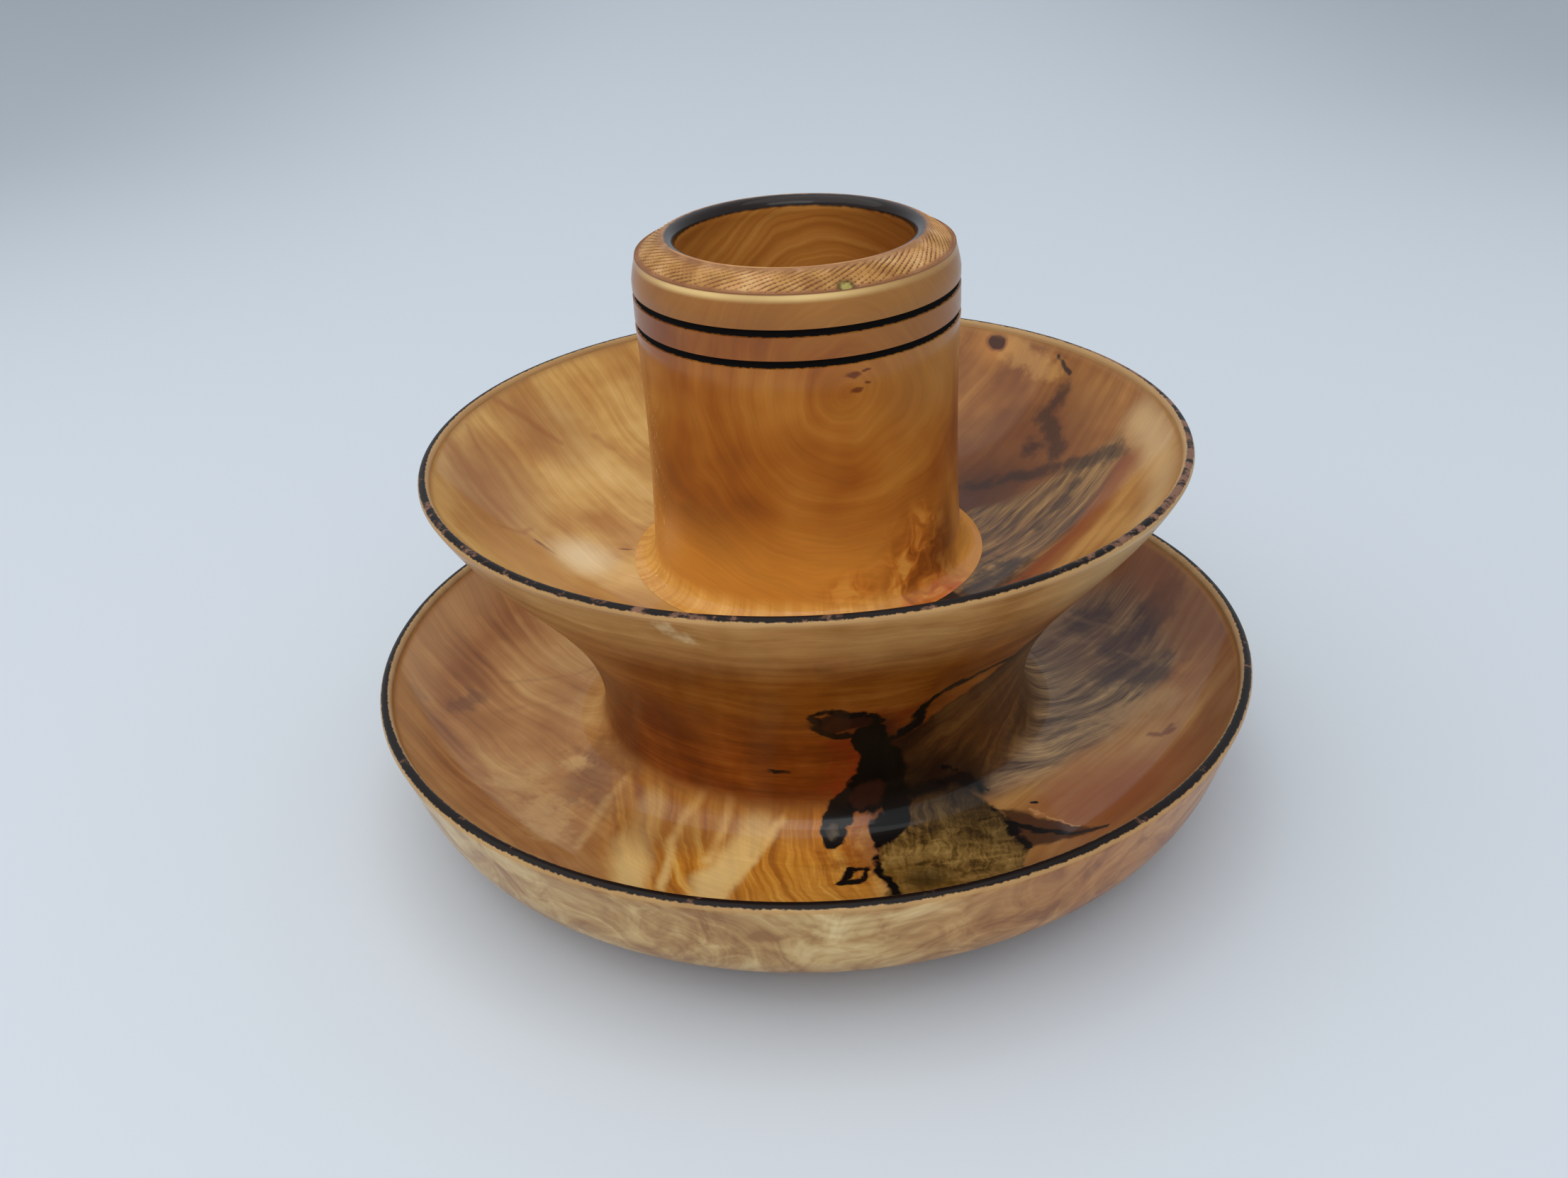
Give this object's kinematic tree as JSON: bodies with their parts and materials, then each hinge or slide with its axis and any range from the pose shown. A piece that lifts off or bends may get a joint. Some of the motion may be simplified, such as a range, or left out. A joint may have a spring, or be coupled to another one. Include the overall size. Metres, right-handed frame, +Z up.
{
  "type": "chip and dip server",
  "caption": "Turned wooden chip and dip server: a wide dish, a bowl raised over it on a waisted stem, and a tall dip cup standing in the bowl.",
  "frame": {"origin": "on the axis of turning, in the plane that the foot ring stands on", "axes": "+Z up along the axis of turning; +X to the right and -Y to the front as the server is looked at, with the dark knots of the figure at the front right"},
  "size_m": [0.31, 0.31, 0.204],
  "materials": {
    "dish_wood": "figured wood under clear gloss lacquer, with a burned black lip",
    "bowl_wood": "figured wood under clear gloss lacquer, with a burned black lip",
    "cup_wood": "figured wood under clear gloss lacquer, with two burned grooves and a burned mouth"
  },
  "bodies": {
    "root": {"lower_dish": "dish_wood", "upper_bowl": "bowl_wood", "dip_cup": "cup_wood"}
  },
  "joints": []
}
